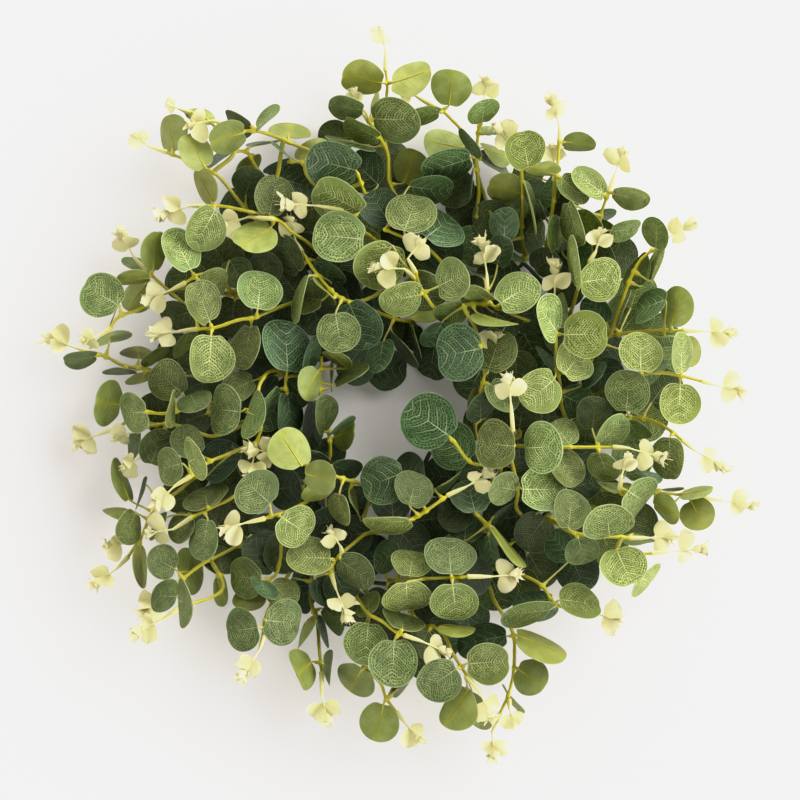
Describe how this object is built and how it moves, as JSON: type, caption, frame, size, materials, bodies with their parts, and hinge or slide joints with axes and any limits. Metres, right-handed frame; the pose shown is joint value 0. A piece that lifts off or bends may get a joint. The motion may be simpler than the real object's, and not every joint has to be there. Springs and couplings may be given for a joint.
{
  "type": "artificial eucalyptus wreath",
  "caption": "Round artificial eucalyptus wreath: leafy sprigs with pale budding tips hooked on a double wire ring frame, open in the middle.",
  "frame": {"origin": "centre of the bounding box, on the surface that the ring frame's bars stand on", "axes": "+Z out of the wreath's face towards the viewer, +Y towards the top of the wreath as it is shown, +X to its right"},
  "size_m": [0.5366, 0.5524, 0.0967],
  "materials": {
    "frame_coat": "dark green plastic coating over steel wire and strip, slightly glossy",
    "leaf_plastic": "moulded leaves, front printed with a pale net of veins on light or dark green, smooth light green back with a raised rib",
    "stem_plastic": "moulded yellow-green stems with diamond-shaped knots",
    "tip_plastic": "pale cream, slightly translucent moulded bud tips"
  },
  "bodies": {
    "root": {"ring_frame": "frame_coat", "sprig_01": "leaf_plastic", "sprig_02": "leaf_plastic", "sprig_03": "leaf_plastic", "sprig_04": "leaf_plastic", "sprig_05": "leaf_plastic", "sprig_06": "leaf_plastic", "sprig_07": "leaf_plastic", "sprig_08": "leaf_plastic", "sprig_09": "leaf_plastic", "sprig_10": "leaf_plastic", "sprig_11": "leaf_plastic", "sprig_12": "leaf_plastic", "sprig_13": "leaf_plastic", "sprig_14": "leaf_plastic", "sprig_15": "leaf_plastic", "sprig_16": "leaf_plastic", "sprig_17": "leaf_plastic", "sprig_18": "leaf_plastic", "sprig_19": "leaf_plastic", "sprig_20": "leaf_plastic", "sprig_21": "leaf_plastic", "sprig_22": "leaf_plastic", "sprig_23": "leaf_plastic", "sprig_24": "leaf_plastic", "sprig_25": "leaf_plastic", "sprig_26": "leaf_plastic", "sprig_27": "leaf_plastic", "sprig_28": "leaf_plastic", "sprig_29": "leaf_plastic", "sprig_30": "leaf_plastic", "sprig_31": "leaf_plastic", "sprig_32": "leaf_plastic", "sprig_33": "leaf_plastic", "sprig_34": "leaf_plastic", "sprig_35": "leaf_plastic", "sprig_36": "leaf_plastic", "sprig_37": "leaf_plastic", "sprig_38": "leaf_plastic", "sprig_39": "leaf_plastic", "sprig_40": "leaf_plastic", "sprig_41": "leaf_plastic", "sprig_42": "leaf_plastic", "sprig_43": "leaf_plastic", "sprig_44": "leaf_plastic", "sprig_45": "leaf_plastic", "sprig_46": "leaf_plastic", "sprig_47": "leaf_plastic", "sprig_48": "leaf_plastic", "sprig_49": "leaf_plastic", "sprig_50": "leaf_plastic", "sprig_51": "leaf_plastic", "sprig_52": "leaf_plastic", "sprig_53": "leaf_plastic", "sprig_54": "leaf_plastic", "sprig_55": "leaf_plastic", "sprig_56": "leaf_plastic", "sprig_57": "leaf_plastic", "sprig_58": "leaf_plastic", "sprig_59": "leaf_plastic"}
  },
  "joints": []
}
